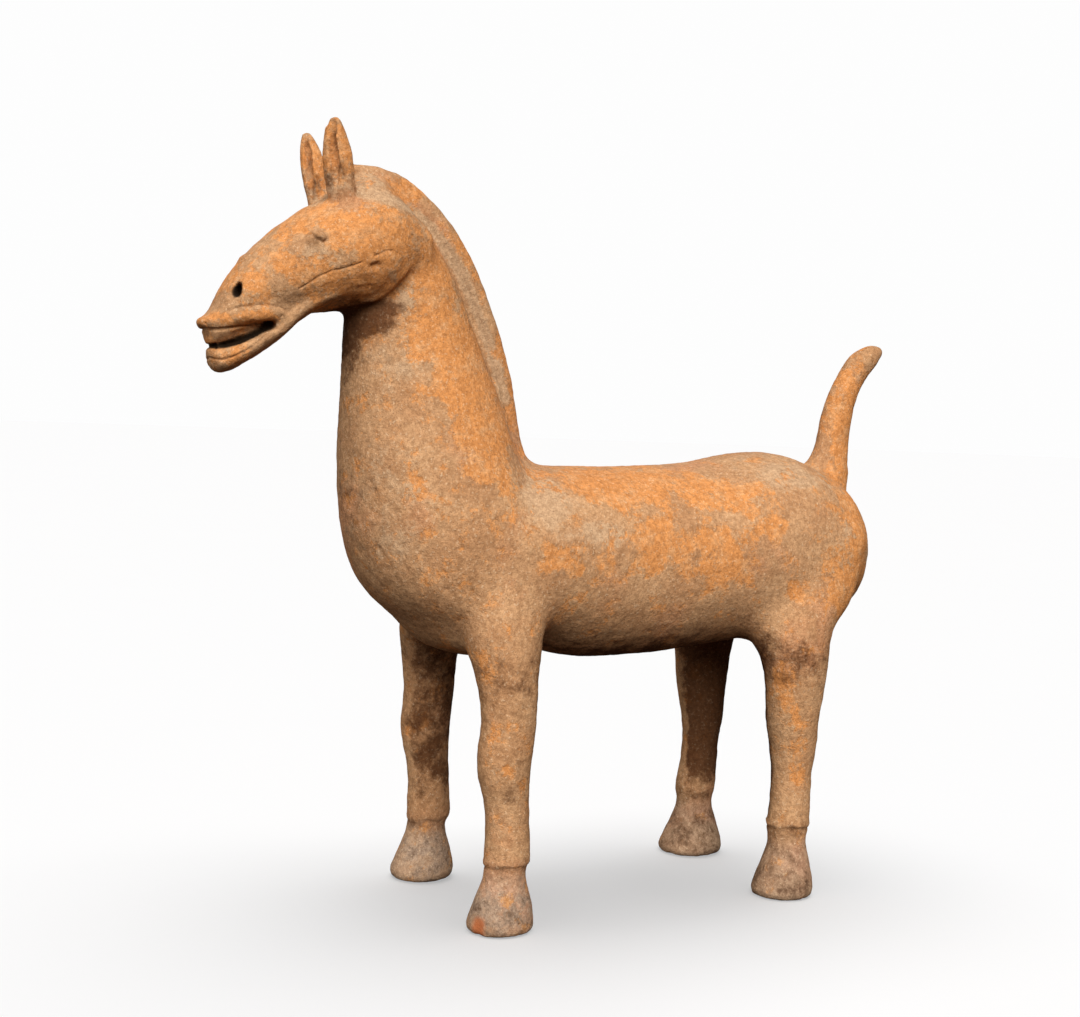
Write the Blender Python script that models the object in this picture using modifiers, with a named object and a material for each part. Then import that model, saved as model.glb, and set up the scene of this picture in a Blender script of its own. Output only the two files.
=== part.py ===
# Pottery horse: a standing clay figure, built by hand and fired in one piece.
# Metres, +Z up. The horse faces -Y and its left side is +X. It stands on z = 0,
# and the origin is the middle of its own footprint box.

from math import cos, pi, radians, sin

import bmesh
import bpy
from mathutils import Matrix, Vector
from mathutils.bvhtree import BVHTree

# Driving sizes
figure_height = 0.622

# Stance: where the hooves stand and how thick the legs are
front_track = 0.160
rear_track = 0.150
stance_length = 0.2715
front_leg_thickness = 0.0450
rear_leg_thickness = 0.0440
leg_flatness = 0.965
fetlock_ledge = 0.0022
sole_radius = {"front_left": 0.0272, "front_right": 0.0287, "rear_left": 0.0272, "rear_right": 0.0305}

# Ears, tail and mane. Both ears open towards the figure's front left.
ear_length = {"left": 0.0610, "right": 0.0600}
ear_width = {"left": 0.0252, "right": 0.0222}
ear_thickness = 0.0175
ear_turn = {"left": radians(46), "right": radians(-40)}
ear_hollow_width = 0.0082
ear_hollow_depth = 0.0070
ear_spacing = 0.062
ear_splay = 0.10
ear_lean = {"left": 0.180, "right": 0.190}
tail_width = 0.026
mane_width = 0.024

# Eyes, nostrils and mouth
eye_length = 0.016
eye_height = 0.009
eye_rise = 0.0055
eye_slant = radians(25)
nostril_width = 0.0072
nostril_height = 0.0118
nostril_depth = 0.014
nostril_turn = radians(35)
mouth_opening = 0.0030
mouth_depth = 0.0085
gum_line_width = 0.0026
gum_line_depth = 0.0013

# How fine the surface is modelled, and how many triangles are kept
cells_over_height = 250
ring_points = 32
cutter_points = 12
rings_per_span = 6
rings_per_cap = 5
cap_reach = radians(88)
skin_smoothing = 4
joint_smoothing = 200
triangle_budget = 7850
crease_angle = radians(50)

# The trunk, neck, head and tail are lofts. Each ring is set by its low point and its high
# point in the middle plane and by its half width, all as shares of the figure's height:
# (low y, low z, high y, high z, half width).
trunk_rings = (
    (-0.270, 0.430, -0.270, 0.560, 0.115),
    (-0.190, 0.370, -0.190, 0.580, 0.152),
    (-0.090, 0.329, -0.090, 0.584, 0.150),
    (0.010, 0.326, 0.010, 0.584, 0.145),
    (0.110, 0.333, 0.110, 0.591, 0.147),
    (0.200, 0.345, 0.205, 0.607, 0.152),
    (0.262, 0.354, 0.262, 0.605, 0.146),
    (0.313, 0.364, 0.308, 0.588, 0.127),
)
neck_rings = (
    (-0.304, 0.372, -0.140, 0.368, 0.105),
    (-0.361, 0.424, -0.110, 0.420, 0.137),
    (-0.388, 0.500, -0.112, 0.505, 0.143),
    (-0.396, 0.590, -0.163, 0.592, 0.121),
    (-0.397, 0.670, -0.197, 0.680, 0.096),
    (-0.397, 0.745, -0.230, 0.758, 0.076),
    (-0.398, 0.795, -0.266, 0.832, 0.068),
    (-0.408, 0.850, -0.310, 0.892, 0.063),
    (-0.430, 0.895, -0.352, 0.934, 0.054),
)
head_rings = (
    (-0.322, 0.810, -0.312, 0.890, 0.070),
    (-0.368, 0.776, -0.368, 0.930, 0.093),
    (-0.418, 0.770, -0.428, 0.911, 0.094),
    (-0.453, 0.764, -0.479, 0.879, 0.081),
    (-0.490, 0.755, -0.519, 0.843, 0.066),
    (-0.525, 0.750, -0.552, 0.802, 0.054),
    (-0.553, 0.745, -0.567, 0.770, 0.045),
    (-0.565, 0.744, -0.574, 0.758, 0.036),
)
gum_rings = (
    (-0.500, 0.755, -0.505, 0.785, 0.0500),
    (-0.531, 0.740, -0.535, 0.772, 0.0470),
    (-0.554, 0.727, -0.558, 0.760, 0.0410),
    (-0.569, 0.7205, -0.572, 0.747, 0.0305),
)
jaw_rings = (
    (-0.415, 0.781, -0.420, 0.820, 0.078),
    (-0.458, 0.761, -0.465, 0.795, 0.065),
    (-0.491, 0.730, -0.503, 0.757, 0.054),
    (-0.517, 0.710, -0.529, 0.741, 0.047),
    (-0.542, 0.693, -0.555, 0.7265, 0.041),
    (-0.559, 0.686, -0.571, 0.7190, 0.031),
)
mane_rings = (
    (-0.404, 0.918, -0.398, 0.956, 0.9),
    (-0.350, 0.908, -0.335, 0.950, 1.0),
    (-0.306, 0.874, -0.275, 0.909, 1.0),
    (-0.264, 0.821, -0.227, 0.847, 1.0),
    (-0.227, 0.745, -0.187, 0.760, 1.0),
    (-0.203, 0.672, -0.162, 0.683, 1.0),
    (-0.175, 0.585, -0.138, 0.598, 1.1),
)
tail_rings = (
    (0.385, 0.535, 0.300, 0.560, 1.7),
    (0.392, 0.600, 0.326, 0.612, 1.15),
    (0.392, 0.650, 0.335, 0.640, 1.0),
    (0.400, 0.690, 0.346, 0.675, 0.95),
    (0.414, 0.718, 0.362, 0.712, 0.95),
    (0.434, 0.742, 0.390, 0.753, 0.95),
    (0.442, 0.756, 0.412, 0.767, 0.80),
)

# The upper lip is a roll of clay bent round the muzzle in a U, from one corner of the
# mouth to the other: (half width, y, z, roll's radius), the near half only, as shares.
upper_lip = (
    (0.048, -0.490, 0.764, 0.0060),
    (0.052, -0.511, 0.760, 0.0092),
    (0.0485, -0.535, 0.7575, 0.0095),
    (0.036, -0.5625, 0.7500, 0.0092),
    (0.018, -0.5775, 0.7480, 0.0078),
    (0.000, -0.5830, 0.7480, 0.0070),
)

# Lines cut round the muzzle, from a corner of the mouth to the front, the near half only:
# (half width, y, z, opening as a share of its named width).
mouth_line = (
    (0.0480, -0.503, 0.7490, 0.5),
    (0.0475, -0.510, 0.7465, 1.1),
    (0.0420, -0.527, 0.7350, 1.5),
    (0.0350, -0.549, 0.7250, 1.5),
    (0.0250, -0.564, 0.7205, 1.1),
    (0.0130, -0.572, 0.7192, 0.95),
    (0.0000, -0.575, 0.7190, 0.9),
)
gum_line = (
    (0.0482, -0.5216, 0.7305, 0.6),
    (0.0434, -0.5405, 0.7143, 1.0),
    (0.0325, -0.5640, 0.7030, 1.0),
    (0.0170, -0.5730, 0.7030, 1.0),
    (0.0000, -0.5760, 0.7035, 1.0),
)

# Legs: (height as a share of the figure's, step forward as a share of it, step inward,
# thickness as a share of the leg's), from inside the body down to the fetlock ledge.
front_leg_rings = (
    (0.540, -0.010, 0.070, 1.10),
    (0.480, -0.008, 0.047, 1.45),
    (0.420, -0.005, 0.030, 1.55),
    (0.365, -0.002, 0.014, 1.42),
    (0.322, -0.002, 0.004, 1.20),
    (0.285, -0.004, 0.000, 1.07),
    (0.255, -0.004, 0.000, 1.00),
    (0.225, -0.001, 0.000, 1.00),
    (0.195, -0.001, 0.000, 0.94),
    (0.165, -0.005, 0.000, 0.83),
    (0.130, -0.008, 0.000, 0.80),
    (0.100, -0.009, 0.000, 0.84),
    (0.086, -0.009, 0.000, 0.85),
)
rear_leg_rings = (
    (0.545, -0.046, 0.055, 1.55),
    (0.500, -0.061, 0.058, 2.40),
    (0.460, -0.055, 0.054, 2.38),
    (0.425, -0.042, 0.042, 2.22),
    (0.395, -0.023, 0.025, 1.96),
    (0.366, -0.006, 0.012, 1.66),
    (0.325, -0.009, 0.003, 1.38),
    (0.290, -0.010, 0.001, 1.20),
    (0.245, -0.009, 0.003, 1.06),
    (0.205, -0.012, 0.004, 0.93),
    (0.170, -0.011, 0.003, 0.81),
    (0.135, -0.010, 0.001, 0.81),
    (0.105, -0.007, 0.000, 0.86),
    (0.091, -0.006, 0.000, 0.87),
)
# Pastern and hoof: (height share, step forward share, share of the way from the
# pastern's radius to the sole's).
hoof_rings = (
    (0.110, -0.006, 0.00),
    (0.080, -0.006, 0.00),
    (0.066, -0.006, 0.06),
    (0.045, -0.005, 0.44),
    (0.020, -0.003, 0.86),
    (0.006, -0.001, 1.00),
    (-0.010, -0.001, 1.00),
)

# Places where the clay of two forms is smoothed together: (on both sides, x, y, z, radius).
blend_zones = (
    (True, 0.120, -0.215, 0.405, 0.170),
    (True, 0.115, 0.225, 0.415, 0.180),
    (False, 0.0, -0.125, 0.570, 0.130),
    (False, 0.0, -0.330, 0.380, 0.130),
    (False, 0.0, 0.355, 0.585, 0.080),
    (False, 0.0, 0.345, 0.440, 0.150),
)

# The outline of an ear from its root to its tip: (share of its length, share of its width).
ear_leaf = ((-0.08, 0.88), (0.2, 0.97), (0.42, 1.0), (0.65, 0.90), (0.83, 0.68), (0.95, 0.42))

# The middle and the length of an ear's hollow, as shares of the ear's length.
ear_hollow_span = (0.52, 0.86)

# Places in side view (y, z), as shares of the height: the roots of the ears and the
# middles of the nostrils and eyes.
ear_root = {"left": (-0.4235, 0.905), "right": (-0.4200, 0.905)}
nostril_place = (-0.551, 0.787)
eye_place = (-0.466, 0.853)


def catmull_rom(before, start, end, after, t):
    """Return the point at share t between start and end on a smooth curve through them."""
    return tuple(
        0.5 * (2 * b + (c - a) * t + (2 * a - 5 * b + 4 * c - d) * t ** 2 + (3 * b - a - 3 * c + d) * t ** 3)
        for a, b, c, d in zip(before, start, end, after)
    )


def smooth_rings(rings):
    """Fill in between the given rings along a smooth curve."""
    last = len(rings) - 1
    filled = []
    for index in range(last):
        before = rings[max(index - 1, 0)]
        after = rings[min(index + 2, last)]
        for step in range(rings_per_span):
            filled.append(catmull_rom(before, rings[index], rings[index + 1], after, step / rings_per_span))
    filled.append(rings[last])
    return filled


def ring_frame(low, high, half_width):
    """Turn a low point, a high point and a half width into a centre and two half axes."""
    centre = Vector((0, (low[0] + high[0]) / 2, (low[1] + high[1]) / 2))
    upright = Vector((0, (high[0] - low[0]) / 2, (high[1] - low[1]) / 2))
    return centre, Vector((half_width, 0, 0)), upright


def rounded_ends(frames, bulge):
    """Close both ends of a row of rings with a few shrinking rings, like half a ball."""
    capped = []
    for end in (0, -1):
        centre, across, upright = frames[end]
        inner = frames[1 if end == 0 else -2][0]
        outward = (centre - inner).normalized() * min(across.length, upright.length) * bulge
        rings = []
        for step in range(1, rings_per_cap + 1):
            angle = cap_reach * step / rings_per_cap
            rings.append((centre + outward * sin(angle), across * cos(angle), upright * cos(angle)))
        capped.append(rings)
    return capped[0][::-1] + frames + capped[1]


def loft(name, frames, collection, squareness=2.0, bulge=0.8, around=ring_points):
    """Skin a row of ring frames into one closed mesh object."""
    mesh = bpy.data.meshes.new(name)
    built = bmesh.new()
    rows = []
    for centre, across, upright in rounded_ends(frames, bulge):
        row = []
        for index in range(around):
            angle = 2 * pi * index / around
            side, rise = cos(angle), sin(angle)
            x_share = abs(side) ** (2 / squareness) * (1 if side > 0 else -1)
            z_share = abs(rise) ** (2 / squareness) * (1 if rise > 0 else -1)
            row.append(built.verts.new(centre + across * x_share + upright * z_share))
        rows.append(row)
    for row, following in zip(rows, rows[1:]):
        for index in range(around):
            beside = (index + 1) % around
            built.faces.new((row[index], row[beside], following[beside], following[index]))
    built.faces.new(rows[0][::-1])
    built.faces.new(rows[-1])
    bmesh.ops.recalc_face_normals(built, faces=built.faces)
    if built.calc_volume(signed=True) < 0:
        bmesh.ops.reverse_faces(built, faces=built.faces)
    built.to_mesh(mesh)
    built.free()
    form = bpy.data.objects.new(name, mesh)
    collection.objects.link(form)
    return form


def scaled(rings):
    """Turn rings given as shares of the height into ring frames in metres."""
    frames = []
    for low_y, low_z, high_y, high_z, half_width in smooth_rings(rings):
        low = (low_y * figure_height, low_z * figure_height)
        high = (high_y * figure_height, high_z * figure_height)
        frames.append(ring_frame(low, high, half_width * figure_height))
    return frames


def strip(rings, width):
    """As scaled, for a form whose half width is a share of its own named width."""
    frames = []
    for low_y, low_z, high_y, high_z, share in smooth_rings(rings):
        low = (low_y * figure_height, low_z * figure_height)
        high = (high_y * figure_height, high_z * figure_height)
        frames.append(ring_frame(low, high, share * width / 2))
    return frames


def leg(name, side, foot_y, track, rings, thickness, sole, collection):
    """One leg down to its fetlock ledge, and its pastern and hoof below."""
    x = side * track / 2
    frames = []
    for height, forward, inward, share in smooth_rings(rings):
        radius = share * thickness / 2
        inset = x - side * inward * figure_height
        centre = Vector((inset, foot_y - forward * figure_height, height * figure_height))
        frames.append((centre, Vector((radius * leg_flatness, 0, 0)), Vector((0, radius, 0))))
    shank = loft(name + "_shank", frames, collection, bulge=0.15)
    pastern = rings[-1][-1] * thickness / 2 - fetlock_ledge
    frames = []
    for height, forward, share in smooth_rings(hoof_rings):
        radius = pastern + (sole - pastern) * share
        centre = Vector((x, foot_y - forward * figure_height, height * figure_height))
        frames.append((centre, Vector((radius * leg_flatness, 0, 0)), Vector((0, radius, 0))))
    hoof = loft(name + "_hoof", frames, collection, bulge=0.2)
    return [shank, hoof]


def ear_frame(side, word):
    """An ear's root and tip, and the directions across it and out of its open front."""
    root_x = side * ear_spacing / 2 * (1 - ear_splay)
    tip_x = side * ear_spacing / 2 * (1 + ear_splay)
    root_y, root_z = ear_root[word]
    root = Vector((root_x, root_y * figure_height, root_z * figure_height))
    tip = Vector((tip_x, root.y - ear_lean[word] * ear_length[word], root.z + ear_length[word]))
    turn = ear_turn[word]
    across = Vector((cos(turn), side * sin(turn), 0))
    forward = Vector((side * sin(turn), -cos(turn), 0))
    return root, tip, across, forward


def ear(side, word, collection):
    """A leaf-shaped ear; its hollow is cut later."""
    root, tip, across, forward = ear_frame(side, word)
    frames = []
    for share, width in smooth_rings(ear_leaf):
        centre = root.lerp(tip, share)
        half_across = across * ear_width[word] / 2 * width
        frames.append((centre, half_across, -forward * ear_thickness / 2 * width))
    return loft("ear_" + word, frames, collection, bulge=0.6)


def roll(name, near_half, flatness, collection):
    """A roll of clay bent in a U round the muzzle."""
    points = list(near_half) + [(-x, y, z, radius) for x, y, z, radius in near_half[-2::-1]]
    points = smooth_rings(points)
    frames = []
    for index, (x, y, z, radius) in enumerate(points):
        before = points[max(index - 1, 0)]
        after = points[min(index + 1, len(points) - 1)]
        along = Vector((after[0] - before[0], after[1] - before[1], 0)).normalized()
        outward = Vector((along.y, -along.x, 0))
        centre = Vector((x, y, z)) * figure_height
        thick = radius * figure_height
        frames.append((centre, outward * thick * flatness, Vector((0, 0, thick))))
    return loft(name, frames, collection, bulge=0.5)


def skin_of(form):
    """A form's surface, ready to be probed."""
    return BVHTree.FromObject(form, bpy.context.evaluated_depsgraph_get())


def skin_point(skin, y, z, side):
    """The point of the skin straight out to one side of the middle plane."""
    start = Vector((0, y, z)) * figure_height
    return skin.ray_cast(start, Vector((side, 0, 0)))[0]


def eye(skin, side, collection):
    """A low almond swelling with the slant of the lids, half sunk in the cheek."""
    place = skin_point(skin, eye_place[0], eye_place[1], side)
    sizes = Matrix.Diagonal((eye_rise, eye_length / 2, eye_height / 2, 1))
    bpy.ops.mesh.primitive_uv_sphere_add(segments=24, ring_count=16, radius=1)
    form = bpy.context.object
    form.name = "eye"
    form.data.transform(Matrix.Translation(place) @ Matrix.Rotation(eye_slant, 4, "X") @ sizes)
    for home in form.users_collection:
        home.objects.unlink(form)
    collection.objects.link(form)
    return form


def build_forms(collection):
    """All the separate forms whose union is the figure."""
    forms = [
        loft("trunk", scaled(trunk_rings), collection, squareness=2.15, bulge=0.735),
        loft("neck", scaled(neck_rings), collection, squareness=2.1, bulge=0.5),
        loft("head", scaled(head_rings), collection, squareness=2.2, bulge=0.35),
        loft("gum", scaled(gum_rings), collection, squareness=2.3, bulge=0.5),
        loft("jaw", scaled(jaw_rings), collection, squareness=2.2, bulge=0.35),
        roll("upper_lip", upper_lip, 0.9, collection),
        loft("mane", strip(mane_rings, mane_width), collection, squareness=2.2, bulge=0.6),
        loft("tail", strip(tail_rings, tail_width), collection, bulge=0.8),
    ]
    for side, word in ((1, "left"), (-1, "right")):
        forms.append(ear(side, word, collection))
        forms.append(eye(skin_of(forms[2]), side, collection))
        forms += leg("front_" + word, side, -stance_length / 2, front_track, front_leg_rings,
                     front_leg_thickness, sole_radius["front_" + word], collection)
        forms += leg("rear_" + word, side, stance_length / 2, rear_track, rear_leg_rings,
                     rear_leg_thickness, sole_radius["rear_" + word], collection)
    return forms


def evaluated_mesh(form):
    """The form's mesh with all its modifiers worked in."""
    graph = bpy.context.evaluated_depsgraph_get()
    return bpy.data.meshes.new_from_object(form.evaluated_get(graph))


def fuse(forms, collection):
    """Union the forms into one closed skin of even squares."""
    joined = bmesh.new()
    for form in forms:
        joined.from_mesh(form.data)
        bpy.data.objects.remove(form)
    mesh = bpy.data.meshes.new("pottery_horse")
    joined.to_mesh(mesh)
    joined.free()
    figure = bpy.data.objects.new("pottery_horse", mesh)
    collection.objects.link(figure)
    remesh = figure.modifiers.new("fuse", "REMESH")
    remesh.mode = "VOXEL"
    remesh.voxel_size = figure_height / cells_over_height
    figure.data = evaluated_mesh(figure)
    figure.modifiers.clear()
    return figure


def smooth_joints(figure):
    """Soften the whole skin a little and the joints between forms a lot."""
    joints = figure.vertex_groups.new(name="joints")
    for both_sides, x, y, z, radius in blend_zones:
        for side in ((1, -1) if both_sides else (1,)):
            centre = Vector((side * x, y, z)) * figure_height
            reach = radius * figure_height
            for vertex in figure.data.vertices:
                distance = (vertex.co - centre).length / reach
                if distance < 1:
                    joints.add([vertex.index], min(1.0, 2 * (1 - distance)), "REPLACE")
    for name, group, repeat in (("skin", "", skin_smoothing), ("joints", "joints", joint_smoothing)):
        smooth = figure.modifiers.new(name, "SMOOTH")
        smooth.factor = 0.5
        smooth.iterations = repeat
        smooth.vertex_group = group
    figure.data = evaluated_mesh(figure)
    figure.modifiers.clear()
    figure.vertex_groups.clear()


def thin_out(figure):
    """Keep few enough triangles, most of them where the skin bends most."""
    figure.data.calc_loop_triangles()
    thin = figure.modifiers.new("thin", "DECIMATE")
    thin.ratio = triangle_budget / len(figure.data.loop_triangles)
    figure.data = evaluated_mesh(figure)
    figure.modifiers.clear()


def as_cutter(tool, cuts):
    """Make an object a guide that is cut out of the figure."""
    for collection in tool.users_collection:
        collection.objects.unlink(tool)
    cuts.objects.link(tool)
    tool.hide_render = True
    tool.display_type = "WIRE"
    return tool


def ear_hollow(side, word, cuts):
    """A long leaf-shaped hollow down the open front of an ear."""
    root, tip, across, forward = ear_frame(side, word)
    upright = (tip - root).normalized()
    turn = Matrix((across, upright.cross(across).normalized(), upright)).transposed().to_4x4()
    middle = root.lerp(tip, ear_hollow_span[0]) + forward * ear_thickness / 2
    half_length = ear_length[word] * ear_hollow_span[1] / 2
    sizes = Matrix.Diagonal((ear_hollow_width / 2, ear_hollow_depth, half_length, 1))
    bpy.ops.mesh.primitive_uv_sphere_add(segments=16, ring_count=12, radius=1)
    tool = as_cutter(bpy.context.object, cuts)
    tool.name = "ear_hollow_" + word
    tool.matrix_world = Matrix.Translation(middle) @ turn @ sizes
    return tool


def nostril(skin, side, word, cuts):
    """An upright oval hole in the side of the nose, bored in and back."""
    place = skin_point(skin, nostril_place[0], nostril_place[1], side)
    sizes = Matrix.Diagonal((nostril_width / 2, nostril_height / 2, nostril_depth, 1))
    turn = Matrix.Rotation(pi / 2 - nostril_turn * side, 4, "Z") @ Matrix.Rotation(pi / 2, 4, "X")
    bpy.ops.mesh.primitive_cylinder_add(vertices=20, radius=1, depth=2)
    tool = as_cutter(bpy.context.object, cuts)
    tool.name = "nostril_" + word
    tool.matrix_world = Matrix.Translation(place) @ turn @ sizes
    return tool


def muzzle_cut(name, line, width, depth, cuts):
    """A band bent round the muzzle along a line, cut in to one even depth."""
    near = [(*(Vector(place) * figure_height), share) for *place, share in line]
    far = [(-x, y, z, share) for x, y, z, share in near[-2::-1]]
    points = smooth_rings(near + far)
    frames = []
    for index, point in enumerate(points):
        before = Vector(points[max(index - 1, 0)][:3])
        after = Vector(points[min(index + 1, len(points) - 1)][:3])
        along = (after - before).normalized()
        outward = Vector((along.y, -along.x, 0)).normalized()
        upright = outward.cross(along).normalized()
        frames.append((Vector(point[:3]), outward * depth, upright * width / 2 * point[3]))
    return as_cutter(loft(name, frames[::2], cuts, squareness=2.6, around=cutter_points), cuts)


def carve(figure, cuts):
    """Cut the mouth, the nostrils and the hollows of the ears out of the skin."""
    skin = skin_of(figure)
    tools = [
        muzzle_cut("mouth", mouth_line, mouth_opening, mouth_depth, cuts),
        muzzle_cut("gum_line", gum_line, gum_line_width, gum_line_depth, cuts),
    ]
    for side, word in ((1, "left"), (-1, "right")):
        tools.append(nostril(skin, side, word, cuts))
        tools.append(ear_hollow(side, word, cuts))
    for tool in tools:
        cut = figure.modifiers.new(tool.name, "BOOLEAN")
        cut.operation = "DIFFERENCE"
        cut.object = tool
        figure.data = evaluated_mesh(figure)
        figure.modifiers.clear()


def cut_soles(figure):
    """Cut the hooves off flat on the ground and put the origin under the figure's middle."""
    cut = bmesh.new()
    cut.from_mesh(figure.data)
    everything = cut.verts[:] + cut.edges[:] + cut.faces[:]
    bmesh.ops.bisect_plane(cut, geom=everything, plane_co=(0, 0, 0), plane_no=(0, 0, 1), clear_inner=True)
    open_edges = [edge for edge in cut.edges if edge.is_boundary]
    bmesh.ops.holes_fill(cut, edges=open_edges)
    bmesh.ops.triangulate(cut, faces=cut.faces)
    bmesh.ops.recalc_face_normals(cut, faces=cut.faces)
    places = [vertex.co.copy() for vertex in cut.verts]
    middle_x = (min(place.x for place in places) + max(place.x for place in places)) / 2
    middle_y = (min(place.y for place in places) + max(place.y for place in places)) / 2
    cut.transform(Matrix.Translation((-middle_x, -middle_y, 0)))
    cut.to_mesh(figure.data)
    cut.free()


def fired_clay():
    """Low-fired orange clay under a tan skin of soil."""
    clay = bpy.data.materials.new("fired_clay")
    clay.use_nodes = True
    shader = clay.node_tree.nodes["Principled BSDF"]
    shader.inputs["Base Color"].default_value = (0.60, 0.31, 0.15, 1)
    shader.inputs["Roughness"].default_value = 0.9
    shader.inputs["Metallic"].default_value = 0.0
    return clay


def main():
    for leftover in list(bpy.data.objects):
        bpy.data.objects.remove(leftover)
    part = bpy.data.collections.new("pottery_horse")
    cuts = bpy.data.collections.new("cutters")
    for collection in (part, cuts):
        bpy.context.scene.collection.children.link(collection)
    figure = fuse(build_forms(part), part)
    smooth_joints(figure)
    thin_out(figure)
    carve(figure, cuts)
    cut_soles(figure)
    figure.data.materials.append(fired_clay())
    figure.data.shade_smooth()
    figure.data.set_sharp_from_angle(angle=crease_angle)


main()
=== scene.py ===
import math

import bpy
import numpy as np
from mathutils import Matrix, Vector


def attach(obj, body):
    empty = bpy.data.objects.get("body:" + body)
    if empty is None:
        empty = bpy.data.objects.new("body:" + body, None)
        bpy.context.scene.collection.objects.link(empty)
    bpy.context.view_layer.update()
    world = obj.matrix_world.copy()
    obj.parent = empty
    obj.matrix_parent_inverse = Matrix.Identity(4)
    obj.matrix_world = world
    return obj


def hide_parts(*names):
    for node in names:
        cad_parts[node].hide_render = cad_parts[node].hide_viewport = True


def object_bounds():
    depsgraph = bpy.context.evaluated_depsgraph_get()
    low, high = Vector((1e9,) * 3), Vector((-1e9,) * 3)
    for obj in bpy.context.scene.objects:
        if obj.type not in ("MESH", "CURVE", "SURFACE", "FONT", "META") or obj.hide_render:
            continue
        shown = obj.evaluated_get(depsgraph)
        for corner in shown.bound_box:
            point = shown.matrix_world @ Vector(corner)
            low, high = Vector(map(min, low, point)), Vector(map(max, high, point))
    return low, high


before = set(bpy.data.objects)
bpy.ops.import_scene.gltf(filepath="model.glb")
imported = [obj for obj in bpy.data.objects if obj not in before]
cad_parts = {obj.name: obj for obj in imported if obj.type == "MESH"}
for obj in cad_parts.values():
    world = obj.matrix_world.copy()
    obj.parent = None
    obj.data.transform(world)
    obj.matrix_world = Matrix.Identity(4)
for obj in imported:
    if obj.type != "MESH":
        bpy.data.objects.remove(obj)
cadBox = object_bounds()
print("frame loaded")

millimetre = 0.001      # the drawn lines and the painted patches are given in millimetres

# the photograph's camera, floor and lights
stageValues = {
    "cameraPlace": (1.222, -0.6438, 0.403),
    "azimuth": 63.2,          # degrees round from the horse's front
    "elevation": 3.2,
    "roll": 2.0,
    "lens": 54.667,
    "floorSize": 60.0,
    "floorColour": (0.476, 0.477, 0.478),
    "floorGlow": 0.42,        # keeps the shadow on the white paper pale
    "floorBounce": (0.055, 0.038, 0.030),   # how much the floor throws back on the figure
    "backdrop": (0.985, 0.985, 0.985),
    "ambience": (0.050, 0.040, 0.036),
    "lights": [
        # name, degrees round from the front, degrees up, degrees wide, strength, for the floor alone
        ("keyLight", 74.0, 38.0, 44.0, 4.3, False),
        ("frontFill", 12.0, 28.0, 90.0, 1.5, False),
        ("overheadLight", 75.0, 80.0, 70.0, 0.2, False),
        ("farSideFill", 243.0, 22.0, 70.0, 1.6, False),
        ("floorLight", 235.0, 83.0, 66.0, 3.65, True),
    ],
}


def addCamera(values):
    azimuth, elevation, roll = (math.radians(values[name]) for name in ("azimuth", "elevation", "roll"))
    flat = math.cos(elevation)
    back = Vector((math.sin(azimuth) * flat, -math.cos(azimuth) * flat, math.sin(elevation)))
    level = Vector((math.cos(azimuth), math.sin(azimuth), 0))
    upright = back.cross(level)
    right = level * math.cos(roll) + upright * math.sin(roll)
    up = upright * math.cos(roll) - level * math.sin(roll)
    bpy.ops.object.camera_add()
    camera = bpy.context.object
    camera.name = "photoCamera"
    turned = Matrix((right, up, back)).transposed().to_4x4()
    camera.matrix_world = Matrix.Translation(values["cameraPlace"]) @ turned
    camera.data.lens = values["lens"]
    camera.data.sensor_width = 36
    camera.data.clip_end = 100
    bpy.context.scene.camera = camera


def addFloor(values):
    bpy.ops.mesh.primitive_circle_add(vertices=96, radius=values["floorSize"] / 2, fill_type="NGON")
    floor = bpy.context.object
    floor.name = "studioFloor"
    paint = bpy.data.materials.new("palePaper")
    paint.use_nodes = True
    tree = paint.node_tree
    shader = tree.nodes["Principled BSDF"]
    shader.inputs["Roughness"].default_value = 0.9
    shader.inputs["Specular IOR Level"].default_value = 0.1
    shader.inputs["Emission Color"].default_value = (1, 1, 1, 1)
    shader.inputs["Emission Strength"].default_value = values["floorGlow"]
    coordinates = tree.nodes.new("ShaderNodeTexCoord")
    grain = tree.nodes.new("ShaderNodeTexNoise")
    grain.inputs["Scale"].default_value = 3
    tint = tree.nodes.new("ShaderNodeMix")
    tint.data_type = "RGBA"
    tint.inputs["A"].default_value = (*values["floorColour"], 1)
    tint.inputs["B"].default_value = (*(0.99 * share for share in values["floorColour"]), 1)
    dim = tree.nodes.new("ShaderNodeBsdfDiffuse")
    dim.inputs["Color"].default_value = (*values["floorBounce"], 1)
    path = tree.nodes.new("ShaderNodeLightPath")
    choose = tree.nodes.new("ShaderNodeMixShader")
    link = tree.links.new
    link(coordinates.outputs["Object"], grain.inputs["Vector"])
    link(grain.outputs["Fac"], tint.inputs["Factor"])
    link(tint.outputs["Result"], shader.inputs["Base Color"])
    link(path.outputs["Is Camera Ray"], choose.inputs["Fac"])
    link(dim.outputs["BSDF"], choose.inputs[1])
    link(shader.outputs["BSDF"], choose.inputs[2])
    link(choose.outputs["Shader"], tree.nodes["Material Output"].inputs["Surface"])
    floor.data.materials.append(paint)


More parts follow.
